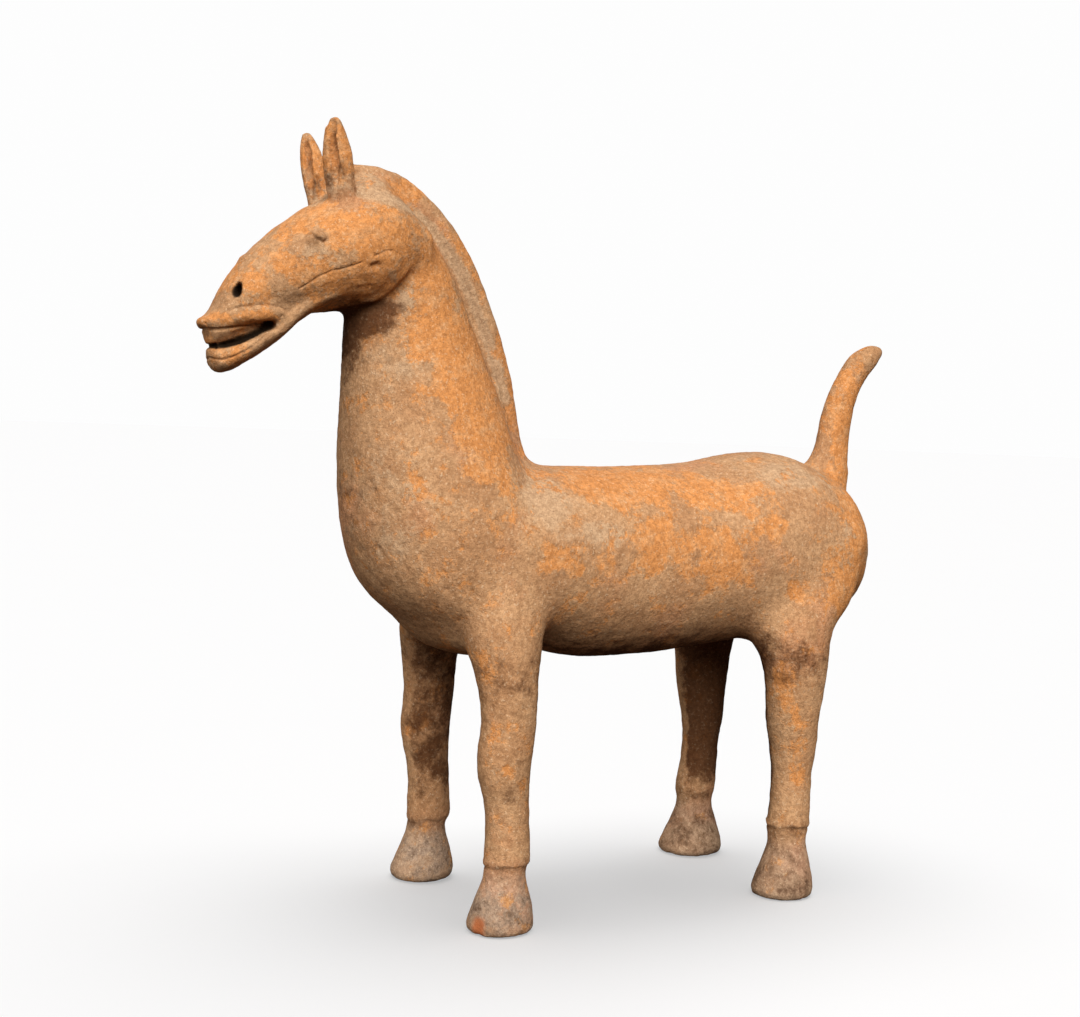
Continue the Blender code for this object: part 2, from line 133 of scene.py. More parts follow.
def addLights(values):
    # the floor has a light of its own, so that it stays white round one soft shadow
    homes = {}
    for alone, name, state in ((True, "floorAlone", "INCLUDE"), (False, "allButFloor", "EXCLUDE")):
        homes[alone] = bpy.data.collections.new(name)
        homes[alone].objects.link(bpy.data.objects["studioFloor"])
        homes[alone].collection_objects[0].light_linking.link_state = state
    for name, azimuth, height, width, strength, floorAlone in values["lights"]:
        bpy.ops.object.light_add(type="SUN", location=(0, 0, 2))
        light = bpy.context.object
        light.name = name
        light.rotation_euler = (math.radians(90 - height), 0, math.radians(azimuth))
        light.data.angle = math.radians(width)
        light.data.energy = strength
        light.light_linking.receiver_collection = homes[floorAlone]
    world = bpy.data.worlds.new("whiteRoom")
    bpy.context.scene.world = world
    world.use_nodes = True
    tree = world.node_tree
    seen = tree.nodes["Background"]
    seen.inputs["Color"].default_value = (*values["backdrop"], 1)
    dim = tree.nodes.new("ShaderNodeBackground")
    dim.inputs["Color"].default_value = (*values["ambience"], 1)
    path = tree.nodes.new("ShaderNodeLightPath")
    choose = tree.nodes.new("ShaderNodeMixShader")
    link = tree.links.new
    link(path.outputs["Is Camera Ray"], choose.inputs["Fac"])
    link(dim.outputs["Background"], choose.inputs[1])
    link(seen.outputs["Background"], choose.inputs[2])
    link(choose.outputs["Shader"], tree.nodes["World Output"].inputs["Surface"])
    bpy.context.scene.view_settings.view_transform = "Standard"


def pickOnly(piece):
    if bpy.context.object and bpy.context.object.mode != "OBJECT":
        bpy.ops.object.mode_set(mode="OBJECT")
    bpy.ops.object.select_all(action="DESELECT")
    piece.select_set(True)
    bpy.context.view_layer.objects.active = piece


def addModifier(piece, kind, **settings):
    pickOnly(piece)
    modifier = piece.modifiers.new(kind.lower(), kind)
    for setting, value in settings.items():
        setattr(modifier, setting, value)
    bpy.ops.object.modifier_apply(modifier=modifier.name)


def readPlaces(piece):
    places = np.empty(len(piece.data.vertices) * 3)
    piece.data.vertices.foreach_get("co", places)
    return places.reshape(-1, 3)


def readNormals(piece):
    normals = np.empty(len(piece.data.vertices) * 3)
    piece.data.vertex_normals.foreach_get("vector", normals)
    return normals.reshape(-1, 3)


def writePlaces(piece, places):
    piece.data.vertices.foreach_set("co", places.ravel())
    piece.data.update()


def drawnPaths(line, mirrored):
    # a drawn line in metres, and its twin on the other side
    path = np.array(line) * millimetre
    return [path, path * (-1, 1, 1)] if mirrored else [path]


def fillPath(path, step=0.0007):
    # a dense run of points along a drawn line
    filled = []
    for start, end in zip(path, path[1:]):
        start, end = np.array(start), np.array(end)
        count = max(1, int(np.linalg.norm(end - start) / step))
        filled += [start + (end - start) * share / count for share in range(count)]
    filled.append(np.array(path[-1]))
    return np.array(filled)


def nearPath(places, path, reach):
    # the vertices within reach of a line, and how far from it each one is
    low, high = path.min(axis=0) - reach, path.max(axis=0) + reach
    inside = np.where(((places > low) & (places < high)).all(axis=1))[0]
    if len(inside) == 0:
        return inside, np.zeros(0)
    distance = np.full(len(inside), 1e9)
    for point in path:
        distance = np.minimum(distance, ((places[inside] - point) ** 2).sum(axis=1))
    distance = np.sqrt(distance)
    close = distance < reach
    return inside[close], distance[close]


def press(places, normals, path, width, depth, flat=2.0):
    # push a line or a spot in, or with a negative depth draw it out
    path = np.array(path) if len(path) == 1 else fillPath(path)
    chosen, distance = nearPath(places, path, width * 2.2)
    push = depth * np.exp(-np.power(distance / width, flat))
    places[chosen] -= normals[chosen] * push[:, None]


# the horse: the solid's form, refined and carved
horseValues = {
    "cell": 0.0014,
    "roundsAllOver": 5,
    "roundsOnBody": 34,
    "headStart": (-0.13, 0.44),      # the head is forward of the first and above the second
    "headBlend": (0.03, 0.04),
    # where the mesh is made twice as fine: forward of, above, below
    "fineZones": [(-0.165, 0.43, 0.63), (-0.262, 0.43, 0.486)],
    "triangles": 190000,
    # drawn lines in millimetres: width, depth, how much dirt and painted shade they hold, on both sides,
    # points
    "strokes": {
        "underLip": (1.1, 2.0, 1.1, True, [
            (0.0, -316.5, 459.2), (8.1, -315.6, 459.8), (17.5, -312.1, 459.3), (22.6, -307.5, 459.4),
            (25.6, -302.3, 460.1), (26.6, -295.0, 461.6), (24.8, -286.9, 463.4), (23.1, -277.2, 465.6),
            (25.1, -271.6, 466.5)]),
        "underGum": (0.9, 1.0, 0.7, True, [
            (0.0, -311.2, 438.8), (14.3, -309.2, 437.2), (19.8, -305.4, 437.0), (23.5, -298.9, 439.4),
            (26.9, -290.1, 444.3), (28.7, -283.8, 449.0), (29.9, -278.2, 454.5), (30.1, -274.5, 458.4)]),
        "overLip": (1.2, 0.9, 0.2, True, [
            (27.3, -304.9, 473.2), (31.8, -296.8, 476.3), (33.5, -289.8, 477.3), (34.9, -282.6, 478.5),
            (35.7, -275.2, 478.5), (35.8, -268.2, 477.8), (34.8, -261.7, 475.3), (36.0, -256.8, 470.4)]),
        "lipPit": (0.9, 1.3, 0.9, False, [(12.7, -317.6, 463.2)]),
        "mouthFront": (1.5, 4.0, 0.5, True, [
            (2.0, -311.8, 447.4), (13.5, -309.5, 447.4), (17.5, -304.0, 448.2), (20.5, -298.0, 450.0)]),
        "mouthCorner": (3.4, 3.0, 0.3, True, [(26.5, -275.0, 464.0), (27.0, -270.5, 465.0)]),
        "nostrilRim": (2.8, 2.6, 0.0, True, [(26.2, -297.6, 491.5), (27.2, -297.2, 487.0)]),
        "lowerLid": (1.1, 1.8, 0.9, True, [
            (47.8, -250.0, 533.2), (50.7, -248.4, 531.5), (51.5, -244.7, 528.8), (51.3, -240.7, 527.2),
            (52.2, -237.9, 528.5)]),
        "upperLid": (0.9, 0.8, 0.4, True, [
            (46.1, -243.1, 536.3), (50.5, -239.8, 533.7), (52.1, -237.2, 530.1)]),
        "eyeBall": (2.6, -1.6, 0.0, True, [(50.7, -245.5, 532.4), (51.4, -241.0, 531.0)]),
        "browLump": (2.4, -1.0, 0.0, True, [(47.8, -250.0, 535.0)]),
        "crackFront": (0.6, 1.2, 0.9, False, [
            (43.3, -255.6, 491.6), (45.1, -251.6, 494.4), (46.9, -247.6, 497.1), (49.1, -243.8, 500.6),
            (50.6, -240.5, 502.6), (51.8, -237.5, 503.8), (53.1, -234.4, 505.8)]),
        "crackMiddle": (0.6, 1.2, 0.9, False, [
            (53.1, -234.4, 505.8), (55.1, -228.1, 507.6), (56.7, -220.9, 509.9), (58.5, -212.1, 513.7)]),
        "crackRear": (0.6, 1.1, 0.8, False, [
            (59.5, -202.3, 518.8), (59.5, -197.6, 521.4), (59.3, -192.8, 523.7), (58.8, -187.8, 523.7)]),
        "cheekKnob": (3.0, -1.0, 0.0, False, [(58.0, -203.0, 512.6), (58.2, -199.5, 513.0)]),
        "cheekPit": (2.4, 3.0, 0.9, False, [(58.0, -203.4, 511.4), (58.2, -199.6, 512.4)]),
        "cheekScuff": (5.0, 1.2, 0.2, False, [(58.2, -199.0, 511.2)]),
        "noseBump": (4.0, -1.6, 0.0, False, [
            (-9.0, -284.2, 515.0), (0.0, -286.2, 515.0), (9.0, -284.2, 514.0)]),
        "jawEdge": (3.2, -1.2, 0.0, True, [
            (25.5, -212.8, 482.4), (30.8, -202.7, 485.1), (35.2, -192.2, 487.8), (41.8, -182.7, 495.7),
            (45.7, -176.3, 503.5), (49.0, -171.8, 511.5)]),
        "underJaw": (4.4, 1.8, 0.55, True, [
            (22.5, -210.0, 478.6), (29.0, -198.5, 480.5), (34.0, -187.5, 483.0), (40.5, -178.0, 490.5),
            (45.0, -171.0, 498.5)]),
        "cheekBlend": (6.0, -1.6, 0.0, True, [
            (35.5, -147.5, 538.1), (34.5, -146.0, 532.8), (37.3, -147.9, 526.0), (40.5, -150.7, 520.2),
            (41.6, -155.2, 515.2)]),
        "besideMane": (1.5, 1.0, 0.35, True, [
            (12.4, -125.5, 536.6), (12.6, -115.8, 527.9), (12.1, -100.4, 494.7), (12.4, -86.7, 466.8),
            (12.3, -76.2, 438.9), (13.7, -69.1, 412.7), (14.2, -60.9, 392.6)]),
        "earNotch": (2.2, 2.6, 0.0, False, [(32.3, -234.3, 617.5), (34.0, -233.8, 620.0)]),
        "leftEarFold": (1.4, 1.4, 0.85, False, [
            (37.9, -230.9, 619.5), (39.0, -228.8, 617.0), (39.0, -229.0, 612.0), (35.1, -227.5, 605.4),
            (34.2, -225.8, 598.3), (38.5, -225.8, 590.0), (39.6, -224.1, 582.9), (39.3, -222.2, 577.1)]),
        "rightEarFold": (1.4, 1.4, 0.85, False, [
            (-30.0, -228.4, 618.7), (-28.8, -229.5, 615.3), (-29.1, -228.3, 609.2),
            (-29.9, -227.1, 602.4), (-30.1, -225.2, 594.8), (-28.0, -223.5, 587.1),
            (-21.7, -224.3, 579.1)]),
        "chipFront": (4.0, 1.6, 0.0, False, [(91.0, -113.2, 8.0), (90.0, -114.2, 3.0)]),
        "chipCorner": (2.2, 2.6, 0.9, False, [(97.5, -69.5, 5.0)]),
    },
    # the ledges over the pasterns: leg's middle (x, y), height, radius, depth of the groove
    "ledges": [
        (0.080, -0.0845, 0.0508, 0.0185, 0.0014), (-0.080, -0.0845, 0.0500, 0.0185, 0.0008),
        (0.075, 0.1855, 0.0588, 0.0185, 0.0014),
    ],
    "ledgeWidth": 0.0016,
    "ledgeLip": 0.0034,              # how far over its groove a ledge's lip stands
    # the hooves: sole's middle (x, y), how far its edge is worn back, and up to what height
    "hooves": [
        (0.080, -0.0896, 0.0016, 0.006), (-0.080, -0.0896, 0.0026, 0.009),
        (0.075, 0.1818, 0.0018, 0.007), (-0.075, 0.1818, 0.0020, 0.007),
    ],
    "hoofReach": 0.045,
    # how many pits, between which widths, between which depths
    "pits": (150, (0.0008, 0.0020), (0.0003, 0.0010)),
    "chestPits": (70, (0.0014, 0.0030), (0.0005, 0.0012)),
    "chest": (-0.09, 0.24, 0.36),    # forward of, above, below
    # the uneven surface that hands leave, and the crust of soil: size, height, detail
    "lumps": {"handWork": (0.050, 0.0018, 2), "crust": (0.008, 0.0010, 3)},
    # painted shade in the hollows, in millimetres: reach, and middle line on the near side
    "hollows": {
        "mouth": (5.0, [
            (0.0, -307.0, 447.8), (8.5, -305.5, 447.8), (12.5, -301.0, 449.0), (17.0, -292.0, 452.0),
            (17.2, -285.0, 455.2), (19.0, -277.0, 460.0), (21.5, -271.5, 464.5)]),
        "mouthDeep": (7.6, [
            (0.0, -303.0, 447.8), (6.0, -299.0, 448.5), (9.5, -293.0, 451.0), (11.0, -283.0, 456.0)]),
        "nostril": (5.0, [(26.2, -297.6, 491.2), (27.2, -297.2, 487.2), (14.7, -293.8, 489.9)]),
    },
    "freshChip": (6.2, [(90.5, -113.2, 8.5), (91.2, -113.8, 2.0)]),
}


def inZone(places, zone):
    forwardOf, above, below = zone
    return (places[:, 1] < forwardOf) & (places[:, 2] > above) & (places[:, 2] < below)


def copySolid(values):
    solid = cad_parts["pottery_horse"]
    horse = bpy.data.objects.new("clayHorse", solid.data.copy())
    bpy.context.scene.collection.objects.link(horse)
    horse.data.materials.clear()
    pickOnly(horse)
    bpy.ops.object.mode_set(mode="EDIT")
    bpy.ops.mesh.select_all(action="SELECT")
    bpy.ops.mesh.remove_doubles(threshold=0.00001)
    bpy.ops.object.mode_set(mode="OBJECT")
    addModifier(horse, "REMESH", mode="VOXEL", voxel_size=values["cell"])
    return horse


def softenFacets(horse, values):
    # the body's facets are rubbed down more than the head, whose small forms stay
    places = readPlaces(horse)
    body = horse.vertex_groups.new(name="body")
    forwardOf, above = values["headStart"]
    forwardBlend, upBlend = values["headBlend"]
    headShare = np.clip((places[:, 2] - above) / upBlend, 0, 1)
    headShare *= np.clip((forwardOf - places[:, 1]) / forwardBlend, 0, 1)
    for level in range(1, 11):
        chosen = np.where(np.round((1 - headShare) * 10) == level)[0]
        if len(chosen):
            body.add(chosen.tolist(), level / 10, "REPLACE")
    addModifier(horse, "SMOOTH", factor=0.5, iterations=values["roundsAllOver"])
    addModifier(horse, "SMOOTH", factor=0.5, iterations=values["roundsOnBody"], vertex_group="body")
    horse.vertex_groups.clear()


def refineZone(horse, zone):
    # twice the detail where the carving is fine
    pickOnly(horse)
    bpy.ops.object.mode_set(mode="EDIT")
    bpy.ops.mesh.select_all(action="DESELECT")
    bpy.ops.mesh.select_mode(type="VERT")
    bpy.ops.object.mode_set(mode="OBJECT")
    horse.data.vertices.foreach_set("select", inZone(readPlaces(horse), zone))
    bpy.ops.object.mode_set(mode="EDIT")
    bpy.ops.mesh.subdivide(number_cuts=1, smoothness=0)
    bpy.ops.object.mode_set(mode="OBJECT")


def ledgeLine(ledge, rise, count=90):
    # a ring round the leg that wavers by a millimetre, as a line drawn by hand does
    x, y, z, radius = ledge[:4]
    line = []
    for turn in np.linspace(0, math.tau, count):
        wave = 0.0009 * math.sin(3 * turn + 40 * x) + 0.0005 * math.sin(8 * turn)
        line.append((x + radius * math.cos(turn), y + radius * math.sin(turn), z + wave + rise))
    return line


def pressPits(places, normals, spots, chance, widths, depths):
    for spot in spots:
        press(places, normals, [tuple(places[spot])], chance.uniform(*widths), chance.uniform(*depths))


def wearHooves(places, values):
    for x, y, wornBack, height in values["hooves"]:
        besides = np.hypot(places[:, 0] - x, places[:, 1] - y)
        foot = np.where((besides < values["hoofReach"]) & (places[:, 2] < height))[0]
        outward = places[foot, :2] - (x, y)
        outward /= np.maximum(np.linalg.norm(outward, axis=1), 0.004)[:, None]
        places[foot, :2] -= outward * (wornBack * (1 - places[foot, 2] / height) ** 1.5)[:, None]


def carve(horse, values):
    places = readPlaces(horse)
    normals = readNormals(horse)
    for width, depth, dirtAndShade, mirrored, line in values["strokes"].values():
        for path in drawnPaths(line, mirrored):
            press(places, normals, path, width * millimetre, depth * millimetre)
    for ledge in values["ledges"]:
        depth = ledge[4]
        press(places, normals, ledgeLine(ledge, 0.0), values["ledgeWidth"], depth)
        press(places, normals, ledgeLine(ledge, values["ledgeLip"]), values["ledgeWidth"], -0.5 * depth)
    wearHooves(places, values)
    chance = np.random.RandomState(11)
    count, widths, depths = values["pits"]
    pressPits(places, normals, chance.randint(0, len(places), count), chance, widths, depths)
    count, widths, depths = values["chestPits"]
    chest = np.where(inZone(places, values["chest"]))[0]
    pressPits(places, normals, chance.choice(chest, count), chance, widths, depths)
    writePlaces(horse, places)


def roughen(horse, values):
    for name, (size, height, detail) in values["lumps"].items():
        lumps = bpy.data.textures.new(name, "CLOUDS")
        lumps.noise_scale = size
        lumps.noise_depth = detail
        addModifier(horse, "DISPLACE", texture=lumps, strength=height, mid_level=0.5, texture_coords="LOCAL")


def thinOut(horse, values):
    horse.data.calc_loop_triangles()
    addModifier(horse, "DECIMATE", ratio=min(1.0, values["triangles"] / len(horse.data.loop_triangles)))


def keepInBox(horse):
    # nothing stands proud of the solid's box, and the soles stay flat on the floor
    places = readPlaces(horse)
    places = np.clip(places, np.array(cadBox[0]), np.array(cadBox[1]))
    writePlaces(horse, places)


# where the clay's own colour shows through the soil, where the soil is pale, and where it is darkened by
# stain and by painted shade:
# places and reaches along the figure (y, z) in millimetres, and how strongly
finishAndShadeValues = {
    "bare": [
        # the bare patches under the cheek, near y -205, z 500, are partly painted light on the down-facing
        # jaw
        (-252, 548, 40, 16, 0.9), (-195, 528, 34, 30, 1.1), (-213, 500, 40, 18, 1),
        (-289, 498, 20, 20, 0.8), (-272, 512, 18, 12, 0.7), (-297, 468, 36, 6, 0.9),
        (-290, 442, 30, 12, 0.6), (-228, 600, 20, 30, 0.8), (-145, 577, 36, 9, 1),
        (-106, 535, 18, 26, 0.8), (-142, 518, 20, 30, 1.1), (-140, 470, 24, 34, 1.2),
        (-122, 440, 26, 46, 1.2), (-108, 395, 28, 45, 1.1), (-160, 420, 8, 10, 0.9),
        (-96, 350, 14, 26, 0.7), (-150, 333, 8, 14, 0.55), (-113, 322, 12, 18, 0.6),
        (-66, 440, 12, 60, 0.9), (-45, 385, 14, 40, 0.7), (30, 349, 66, 16, 1.1),
        (100, 345, 55, 14, 0.95), (-50, 292, 24, 18, 0.75), (38, 303, 36, 22, 1),
        (95, 295, 34, 26, 0.9), (-19, 292, 16, 12, 0.6), (140, 320, 20, 20, 0.6),
        (150, 355, 30, 10, 0.5), (247, 315, 28, 60, 0.9), (230, 262, 26, 40, 1),
        (180, 270, 26, 18, 0.45), (286, 400, 30, 75, 1), (170, 175, 12, 36, 0.5),
        (183, 120, 10, 24, 0.4), (-95, 139, 10, 24, 0.35), (-118, 215, 16, 20, 0.45),
    ],
    "pale": [
        (-195, 576, 18, 10, 0.8), (-226, 575, 14, 10, 0.8), (-169, 492, 13, 16, 0.9),
        (-166, 444, 12, 15, 0.8), (-183, 440, 12, 40, 0.5), (-178, 308, 26, 30, 0.5),
        (-105, 228, 22, 22, 0.35), (228, 300, 12, 26, 0.6), (-58, 338, 24, 22, 0.9),
        (-18, 311, 36, 10, 0.8), (181, 360, 36, 14, 0.85), (-186, 519, 8, 6, 0.7),
        (-177, 351, 30, 30, 0.5), (-243, 560, 12, 12, 0.5), (-245, 515, 16, 12, 0.7),
        (225, 360, 14, 20, 0.5), (-95, 22, 40, 24, 0.55), (180, 18, 40, 16, 0.25), (0, 285, 80, 6, 0.3),
    ],
    "darkStainAndShade": [
        # painted shade under the jaw in the first three patches, and along the belly in the wide patch at z
        # 203
        (-201, 472, 18, 12, 1.6), (-206, 455, 8, 22, 1.1), (-186, 482, 14, 7, 1.2),
        (-230, 577, 10, 8, 0.5), (-90, 118, 10, 22, 0.5), (-95, 50, 26, 7, 0.4), (180, 56, 26, 6, 0.4),
        (294, 430, 16, 60, 0.25), (-199, 333, 6, 40, 0.35), (60, 203, 150, 20, 0.8),
        (-250, 512, 10, 8, 0.3), (-95, 20, 40, 30, 0.34), (180, 20, 40, 30, 0.46),
    ],
    # the grey band along the foot of the mane: reach, strength and its line (y, z)
    "band": (6.2, 1.0, [
        (-204.7, 568.9), (-191.8, 566.0), (-181.7, 561.0), (-170.0, 560.0), (-149.6, 558.0),
        (-137.0, 547.6), (-123.6, 532.9), (-111.9, 517.8), (-100.7, 497.9), (-91.1, 477.6),
        (-83.4, 459.5), (-75.5, 439.7), (-68.3, 417.3),
    ]),
    "bandOverBare": 0.8,
    # the dark soil and painted shade on the legs' inner faces: between which heights, how strongly in front
    # and behind
    "legInsideStainAndShade": (0.055, 0.265, 0.62, 1.4),
    "dirtAndShadeReach": 1.1,                # how far the dirt and painted shade reach, in widths of the line that holds them
    "ledgeDirtAndShade": 0.6,
}


def lineMask(places, path, reach, sharp=2.0):
    # how strongly each vertex is marked by a line that runs past it
    mask = np.zeros(len(places), dtype=np.float32)
    filled = np.array(path) if len(path) == 1 else fillPath(path)
    chosen, distance = nearPath(places, filled, reach * 2.0)
    mask[chosen] = np.exp(-np.power(distance / reach, sharp))
    return mask


def paintFinishAndShade(places, normals, finishAndShade):
    # bare clay, pale deposit, dark stain and painted shade
    masks = np.zeros((len(places), 4), dtype=np.float32)
    for channel, kind in enumerate(("bare", "pale", "darkStainAndShade")):
        for *patch, strength in finishAndShade[kind]:
            y, z, reachY, reachZ = np.array(patch) * millimetre
            spread = ((places[:, 1] - y) / reachY) ** 2 + ((places[:, 2] - z) / reachZ) ** 2
            masks[:, channel] = np.maximum(masks[:, channel], strength * np.exp(-0.7 * spread))
    reach, strength, line = finishAndShade["band"]
    path = np.array([(0, y, z) for y, z in line]) * millimetre
    band = lineMask(places * (0, 1, 1), path, reach * millimetre)
    masks[:, 0] *= 1 - finishAndShade["bandOverBare"] * band
    masks[:, 1] = np.maximum(masks[:, 1], strength * band)
    # dark soil and painted shade on the legs' inner faces
    low, high, front, behind = finishAndShade["legInsideStainAndShade"]
    inward = -np.sign(places[:, 0]) * normals[:, 0]
    onLeg = np.clip((places[:, 2] - low) / 0.04, 0, 1) * np.clip((high - places[:, 2]) / 0.03, 0, 1)
    soiledAndShaded = np.where(places[:, 1] > 0, behind, front) * onLeg * np.clip(inward * 1.6, 0, 1)
    masks[:, 2] = np.maximum(masks[:, 2], soiledAndShaded)
    return masks


def paintWearAndShade(places, values, finishAndShade):
    # fresh chip, dirt and painted shade in the carving, painted shade inside the hollows
    masks = np.zeros((len(places), 4), dtype=np.float32)
    reach, line = values["freshChip"]
    masks[:, 0] = lineMask(places, np.array(line) * millimetre, reach * millimetre, 6.0)
    # dirt in the cracks, and painted shade in the creases under the lip and the jaw
    for width, depth, dirtAndShade, mirrored, line in values["strokes"].values():
        for path in drawnPaths(line, mirrored):
            dirtAndShadeMask = lineMask(places, path, width * millimetre * finishAndShade["dirtAndShadeReach"])
            masks[:, 1] = np.maximum(masks[:, 1], dirtAndShade * dirtAndShadeMask)
    # dirt and painted shade along the groove under each ledge
    for ledge in values["ledges"]:
        dirtAndShadeMask = lineMask(places, ledgeLine(ledge, -0.0006), values["ledgeWidth"])
        masks[:, 1] = np.maximum(masks[:, 1], finishAndShade["ledgeDirtAndShade"] * dirtAndShadeMask)
    # painted shade inside the mouth and the nostrils
    for reach, line in values["hollows"].values():
        for path in drawnPaths(line, True):
            masks[:, 2] = np.maximum(masks[:, 2], lineMask(places, path, reach * millimetre, 10.0))
    return masks


def addLayer(horse, name, masks):
    layer = horse.data.color_attributes.new(name, "FLOAT_COLOR", "POINT")
    layer.data.foreach_set("color", masks.ravel())


def newGroup(name, sockets):
    group = bpy.data.node_groups.new(name, "ShaderNodeTree")
    for direction, kind, label, value in sockets:
        socket = group.interface.new_socket(name=label, in_out=direction, socket_type="NodeSocket" + kind)
        if value is not None:
            socket.default_value = value
    start = group.nodes.new("NodeGroupInput")
    end = group.nodes.new("NodeGroupOutput")
    return group, start.outputs, end.inputs


def addMath(tree, operation, first, second):
    node = tree.nodes.new("ShaderNodeMath")
    node.operation = operation
    for slot, value in ((0, first), (1, second)):
        if isinstance(value, (int, float)):
            node.inputs[slot].default_value = value
        else:
            tree.links.new(value, node.inputs[slot])
    return node.outputs["Value"]


def addNoise(tree, vector, scale, detail=4.0, roughness=0.55):
    node = tree.nodes.new("ShaderNodeTexNoise")
    for name, value in (("Scale", scale), ("Detail", detail), ("Roughness", roughness)):
        if isinstance(value, (int, float)):
            node.inputs[name].default_value = value
        else:
            tree.links.new(value, node.inputs[name])
    tree.links.new(vector, node.inputs["Vector"])
    return node.outputs["Fac"]


def addBlend(tree, factor, first, second, blend="MIX"):
    node = tree.nodes.new("ShaderNodeMix")
    node.data_type = "RGBA"
    node.blend_type = blend
    for name, value in (("Factor", factor), ("A", first), ("B", second)):
        socket = next(s for s in node.inputs if s.name == name and s.enabled)
        if isinstance(value, tuple):
            socket.default_value = (*value, 1)
        elif isinstance(value, (int, float)):
            socket.default_value = value
        else:
            tree.links.new(value, socket)
    return next(s for s in node.outputs if s.enabled)


def addRange(tree, value, low, high, smooth=True):
    node = tree.nodes.new("ShaderNodeMapRange")
    node.interpolation_type = "SMOOTHSTEP" if smooth else "LINEAR"
    for name, entry in (("Value", value), ("From Min", low), ("From Max", high)):
        if isinstance(entry, (int, float)):
            node.inputs[name].default_value = entry
        else:
            tree.links.new(entry, node.inputs[name])
    return node.outputs["Result"]


def makeRaggedPatch():
    # a soft painted mask broken up into flakes and islands
    group, start, end = newGroup("raggedPatch", [
        ("INPUT", "Vector", "Vector", None), ("INPUT", "Float", "Mask", 0.5),
        ("INPUT", "Float", "Scale", 40.0), ("INPUT", "Float", "Break Up", 0.8),
        ("INPUT", "Float", "Softness", 0.08), ("OUTPUT", "Float", "Mask", None)])
    broad = addNoise(group, start["Vector"], start["Scale"], 6.0, 0.62)
    fineScale = addMath(group, "MULTIPLY", start["Scale"], 6.0)
    fine = addNoise(group, start["Vector"], fineScale, 4.0, 0.7)
    broadShare = addMath(group, "MULTIPLY", broad, 0.7)
    fineShare = addMath(group, "MULTIPLY", fine, 0.3)
    centred = addMath(group, "SUBTRACT", addMath(group, "ADD", broadShare, fineShare), 0.5)
    shifted = addMath(group, "MULTIPLY", centred, addMath(group, "MULTIPLY", start["Break Up"], 3.0))
    total = addMath(group, "ADD", start["Mask"], shifted)
    low = addMath(group, "SUBTRACT", 0.5, start["Softness"])
    high = addMath(group, "ADD", 0.5, start["Softness"])
    group.links.new(addRange(group, total, low, high), end["Mask"])
    return group


def makeGrain():
    # coarse sand in the clay: light and dark specks, and the height that they give the surface
    group, start, end = newGroup("sandGrain", [
        ("INPUT", "Vector", "Vector", None), ("INPUT", "Float", "Scale", 400.0),
        ("OUTPUT", "Float", "Light", None), ("OUTPUT", "Float", "Dark", None),
        ("OUTPUT", "Float", "Height", None)])
    coarse = addNoise(group, start["Vector"], start["Scale"], 3.0, 0.6)
    fine = addNoise(group, start["Vector"], addMath(group, "MULTIPLY", start["Scale"], 2.6), 2.0, 0.6)
    group.links.new(addRange(group, coarse, 0.56, 0.72), end["Light"])
    group.links.new(addRange(group, fine, 0.44, 0.30), end["Dark"])
    coarseShare = addMath(group, "MULTIPLY", coarse, 0.65)
    fineShare = addMath(group, "MULTIPLY", fine, 0.35)
    group.links.new(addMath(group, "ADD", coarseShare, fineShare), end["Height"])
    return group


clayValues = {
    "orange": (0.600, 0.250, 0.078),
    "orangeWorn": (0.610, 0.305, 0.128),
    "tan": (0.510, 0.288, 0.142),
    "tanDeep": (0.430, 0.222, 0.102),
    "pinkish": (0.540, 0.250, 0.120),
    "greyBeige": (0.500, 0.312, 0.174),
    # brown stain, also laid as painted shade under the jaw, along the belly and on the legs' inner faces
    "brownStainAndShade": (0.090, 0.031, 0.010),
    "freshBreak": (0.380, 0.115, 0.040),
    # dirt in the cracks, and painted shade in the creases and under the ledges
    "dirtAndShade": (0.120, 0.058, 0.028),
    # painted shade: near black inside the mouth and the nostrils
    "hollow": (0.003, 0.002, 0.001),
    "cream": (0.800, 0.580, 0.370),
    "pit": (0.160, 0.070, 0.030),
    "footTint": (0.84, 0.97, 1.22),
    "mottle": ((0.68, 0.64, 0.60), (1.18, 1.18, 1.18)),
    # how fine each pattern is
    "scales": {"sand": 420, "cloud": 22, "blush": 13, "worn": 70, "mottle": 230, "crust": 160},
    # the painted patches: scale, how much they break up, softness of their edges
    "patches": {"Red": (52.0, 1.3, 0.18), "Green": (60.0, 0.7, 0.20), "Blue": (60.0, 0.8, 0.30)},
    # how strongly each colour lies over the one under it
    "shares": {
        "pinkish": 0.7, "greyBeige": 1.0, "brownStainAndShade": 0.9, "cream": 0.40, "pit": 0.60,
        "freshBreak": 1.0, "dirtAndShade": 0.75, "hollow": 0.97,
    },
    "flecks": 0.18,                  # bare clay that shows through the soil everywhere
    "footHeights": (0.060, 0.036),   # the feet's tint comes in from the first down to the second
    "bumpStrength": 0.8,
    "bumpDistance": 0.0026,
    "roughness": 0.88,
    "sheen": 0.1,
}


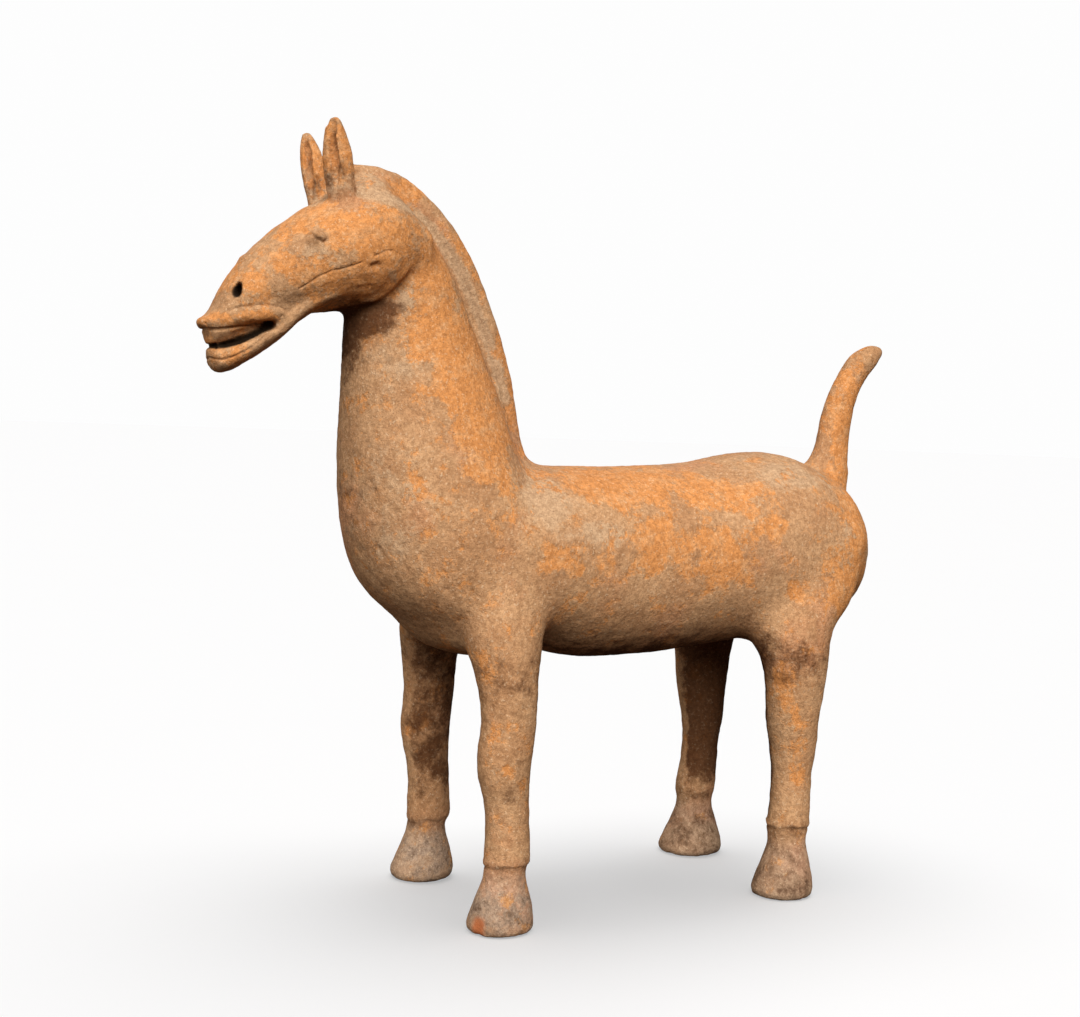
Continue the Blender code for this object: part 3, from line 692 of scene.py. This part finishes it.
def makeClay(values):
    clay = bpy.data.materials.new("firedClay")
    clay.use_nodes = True
    tree = clay.node_tree
    link = tree.links.new
    shader = tree.nodes["Principled BSDF"]
    shader.inputs["Specular IOR Level"].default_value = values["sheen"]
    shader.inputs["Roughness"].default_value = values["roughness"]
    vector = tree.nodes.new("ShaderNodeTexCoord").outputs["Object"]
    ragged = makeRaggedPatch()
    scales = values["scales"]

    def painted(name):
        masks = tree.nodes.new("ShaderNodeAttribute")
        masks.attribute_name = name
        split = tree.nodes.new("ShaderNodeSeparateColor")
        link(masks.outputs["Color"], split.inputs["Color"])
        return split.outputs

    def patch(channel, mask):
        node = tree.nodes.new("ShaderNodeGroup")
        node.node_tree = ragged
        link(vector, node.inputs["Vector"])
        link(mask, node.inputs["Mask"])
        for name, value in zip(("Scale", "Break Up", "Softness"), values["patches"][channel]):
            node.inputs[name].default_value = value
        return node.outputs["Mask"]

    def pattern(name, detail, roughness, low, high):
        return addRange(tree, addNoise(tree, vector, scales[name], detail, roughness), low, high)

    def layOver(under, name, mask):
        share = addMath(tree, "MULTIPLY", mask, values["shares"][name])
        return addBlend(tree, share, under, values[name])

    finishAndShade = painted("finishAndShade")
    wearAndShade = painted("wearAndShade")
    sand = tree.nodes.new("ShaderNodeGroup")
    sand.node_tree = makeGrain()
    link(vector, sand.inputs["Vector"])
    sand.inputs["Scale"].default_value = scales["sand"]

    # soil, and the bare clay that shows through it
    soil = addBlend(tree, pattern("cloud", 7.0, 0.6, 0.36, 0.64), values["tan"], values["tanDeep"])
    soil = layOver(soil, "pinkish", pattern("blush", 5.0, 0.6, 0.52, 0.68))
    soil = layOver(soil, "greyBeige", patch("Green", finishAndShade["Green"]))
    worn = pattern("worn", 7.0, 0.7, 0.46, 0.66)
    bareColour = addBlend(tree, worn, values["orange"], values["orangeWorn"])
    bare = patch("Red", addMath(tree, "MAXIMUM", finishAndShade["Red"], values["flecks"]))
    colour = addBlend(tree, bare, soil, bareColour)
    # dark stain, with painted shade under the jaw, along the belly and on the legs' inner faces
    stainAndShade = patch("Blue", finishAndShade["Blue"])
    colour = layOver(colour, "brownStainAndShade", stainAndShade)

    # mottling, the feet's greyer tint, and the sand
    shade = addBlend(tree, pattern("mottle", 9.0, 0.8, 0.34, 0.66), *values["mottle"])
    colour = addBlend(tree, 1.0, colour, shade, "MULTIPLY")
    split = tree.nodes.new("ShaderNodeSeparateXYZ")
    link(vector, split.inputs["Vector"])
    feet = addRange(tree, split.outputs["Z"], *values["footHeights"])
    colour = addBlend(tree, feet, colour, values["footTint"], "MULTIPLY")
    clearOfStainAndShade = addRange(tree, stainAndShade, 1.6, 0.0, False)
    colour = layOver(colour, "cream", addMath(tree, "MULTIPLY", sand.outputs["Light"], clearOfStainAndShade))
    colour = layOver(colour, "pit", sand.outputs["Dark"])

    # chip, dirt and painted shade in the carving, and painted shade in the hollows
    for name, channel in (("freshBreak", "Red"), ("dirtAndShade", "Green"), ("hollow", "Blue")):
        colour = layOver(colour, name, wearAndShade[channel])
    link(colour, shader.inputs["Base Color"])

    bump = tree.nodes.new("ShaderNodeBump")
    bump.inputs["Strength"].default_value = values["bumpStrength"]
    bump.inputs["Distance"].default_value = values["bumpDistance"]
    crust = addMath(tree, "MULTIPLY", addNoise(tree, vector, scales["crust"], 6.0, 0.7), 0.6)
    height = addMath(tree, "ADD", crust, addMath(tree, "MULTIPLY", sand.outputs["Height"], 0.4))
    height = addMath(tree, "SUBTRACT", height, addMath(tree, "MULTIPLY", bare, 0.12))
    link(height, bump.inputs["Height"])
    link(bump.outputs["Normal"], shader.inputs["Normal"])
    return clay


addCamera(stageValues)
addFloor(stageValues)
addLights(stageValues)
print("camera, floor and lights")

horse = copySolid(horseValues)
softenFacets(horse, horseValues)
print("solid refined:", len(horse.data.vertices))
for zone in horseValues["fineZones"]:
    refineZone(horse, zone)
carve(horse, horseValues)
roughen(horse, horseValues)
thinOut(horse, horseValues)
keepInBox(horse)
print("relief carved:", len(horse.data.polygons))
painted = readPlaces(horse)
addLayer(horse, "finishAndShade", paintFinishAndShade(painted, readNormals(horse), finishAndShadeValues))
addLayer(horse, "wearAndShade", paintWearAndShade(painted, horseValues, finishAndShadeValues))
horse.data.materials.append(makeClay(clayValues))
pickOnly(horse)
bpy.ops.object.shade_smooth()
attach(horse, "root")
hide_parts("pottery_horse")
print("clay finished")
